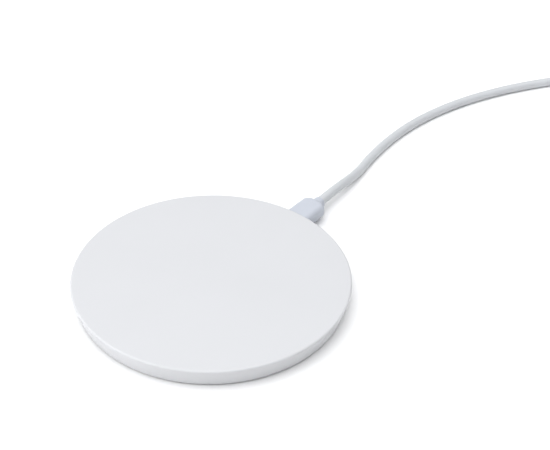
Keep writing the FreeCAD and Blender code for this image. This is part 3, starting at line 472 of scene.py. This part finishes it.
def strap_path():
    """Once round the turns, and on over its own start on top, as (radius, height).

    The turns lie three side by side in two layers: six cord radii wide and four high.
    """
    inner, outer = COIL_MIDDLE - 3 * CORD_RADIUS, COIL_MIDDLE + 3 * CORD_RADIUS
    half = STRAP_THICK / 2
    floor, top = half + FLOOR_GAP, 4 * CORD_RADIUS + TIE_RISE + TOP_GAP + half
    left, right = inner - half, outer + half
    path = [(left + LAP_START, top)]
    path += corner_points(left, top, 90)
    path += corner_points(left, floor, 180)
    path += corner_points(right, floor, 270)
    path += corner_points(right, top, 0)
    path += [(left + away, top + lift) for away, lift in LAP]
    return path


def add_strap():
    """The strap swept along its path, with rounded long edges and a narrower loose end."""
    centre = coil_place()[1]
    path = [Vector((x, 0, z)) for x, z in strap_path()]
    bm = bmesh.new()
    half_w, half_t = STRAP_WIDTH / 2, STRAP_THICK / 2
    flat_w = half_w - STRAP_EDGE
    section = [(-half_w, 0), (-flat_w, half_t), (0, half_t * STRAP_CROWN), (flat_w, half_t),
               (half_w, 0), (flat_w, -half_t), (0, -half_t), (-flat_w, -half_t)]
    rings = []
    for k, point in enumerate(path):
        before, after = path[max(k - 1, 0)], path[min(k + 1, len(path) - 1)]
        along = (after - before).normalized()
        outward = Vector((along.z, 0, -along.x))
        narrow = STRAP_TIP if k == len(path) - 1 else 1.0
        rings.append([bm.verts.new(point + Vector((0, w * narrow, 0)) + outward * t)
                      for w, t in section])
    count = len(section)
    for one, two in zip(rings, rings[1:]):
        for k in range(count):
            bm.faces.new((one[k], one[(k + 1) % count], two[(k + 1) % count], two[k]))
    bm.faces.new(rings[0])
    bm.faces.new(list(reversed(rings[-1])))
    bmesh.ops.recalc_face_normals(bm, faces=bm.faces)
    bm.transform(Matrix.Translation(centre) @ Matrix.Rotation(TIE_BEARING, 4, "Z"))
    mesh = bpy.data.meshes.new("cord_strap")
    bm.to_mesh(mesh)
    bm.free()
    for face in mesh.polygons:
        face.use_smooth = True
    strap = bpy.data.objects.new("cord_strap", mesh)
    bpy.context.scene.collection.objects.link(strap)
    smooth = strap.modifiers.new("smooth", "SUBSURF")
    smooth.levels = smooth.render_levels = 2
    mesh.materials.append(woven_strap(TIE_BEARING))
    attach(strap, "plug_and_cord")
    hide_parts("cord_tie")
    return strap


# ---------------------------------------------------------------- stage

FLOOR_HALF, FLOOR_PATCH = 3.0, 80 * MM
FLOOR_TONES = (0.94, 0.94, 0.94), (0.96, 0.96, 0.96)


def add_floor():
    """A plain white surface."""
    mesh = bpy.data.meshes.new("floor")
    half = FLOOR_HALF
    corners = [(-half, -half, 0), (half, -half, 0), (half, half, 0), (-half, half, 0)]
    mesh.from_pydata(corners, [], [(0, 1, 2, 3)])
    floor = bpy.data.objects.new("floor", mesh)
    bpy.context.scene.collection.objects.link(floor)
    material, tree, shader = start_material("white_surface")
    tone = blend_colours(tree, grain(tree, FLOOR_PATCH), *FLOOR_TONES)
    tree.links.new(tone, shader.inputs["Base Color"])
    shader.inputs["Roughness"].default_value = 0.9
    shader.inputs["Specular IOR Level"].default_value = 0.1
    mesh.materials.append(material)


# The room grows brighter towards its bearing. The ceiling starts at this height, which counts
# from 0 at the horizon to 1 straight up, and is brightest overhead.
ROOM_BEARING, ROOM_DIM, ROOM_BRIGHT = 245.0, 0.0, 0.55
CEILING_START, CEILING_BRIGHT = 0.6, 2.76
ROOM_TINT = (0.985, 0.99, 1.0, 1)
KEY_BEARING, KEY_RISE, KEY_DISTANCE, KEY_SIZE, KEY_POWER = 235.0, 20.0, 0.55, 0.45, 1.12


def add_key_light():
    """A square soft light, low on the front left, that faces the pad."""
    place = KEY_DISTANCE * bearing_vector(KEY_BEARING, KEY_RISE)
    data = bpy.data.lights.new("key", "AREA")
    data.energy, data.size = KEY_POWER, KEY_SIZE
    light = bpy.data.objects.new("key", data)
    light.location = place
    light.rotation_euler = (-place).to_track_quat("-Z", "Y").to_euler()
    light.visible_camera = False
    bpy.context.scene.collection.objects.link(light)


def add_room():
    """A white room, brighter on the front left and brightest overhead."""
    world = bpy.data.worlds.new("white_room")
    world.use_nodes = True
    tree = world.node_tree
    where = add_node(tree, "ShaderNodeTexCoord").outputs["Generated"]
    side, up = (
        add_node(tree, "ShaderNodeVectorMath", {0: where, 1: axis}, operation="DOT_PRODUCT")
        for axis in (bearing_vector(ROOM_BEARING, 0), (0, 0, 1)))
    walls = blend_range(tree, side.outputs["Value"], ROOM_DIM, ROOM_BRIGHT, -1, 1)
    ceiling = blend_range(tree, up.outputs["Value"], 0, CEILING_BRIGHT, CEILING_START, 1)
    both = add_node(tree, "ShaderNodeMath", {0: walls, 1: ceiling}, operation="ADD")
    background = tree.nodes["Background"]
    background.inputs["Color"].default_value = ROOM_TINT
    tree.links.new(both.outputs["Value"], background.inputs["Strength"])
    bpy.context.scene.world = world


# ---------------------------------------------------------------- everything

add_camera()
cord_piece = add_cord()
strap_piece = add_strap()
paint_nodes()
add_floor()
add_room()
add_key_light()
bpy.context.scene.view_settings.view_transform = "Standard"

bpy.context.view_layer.update()
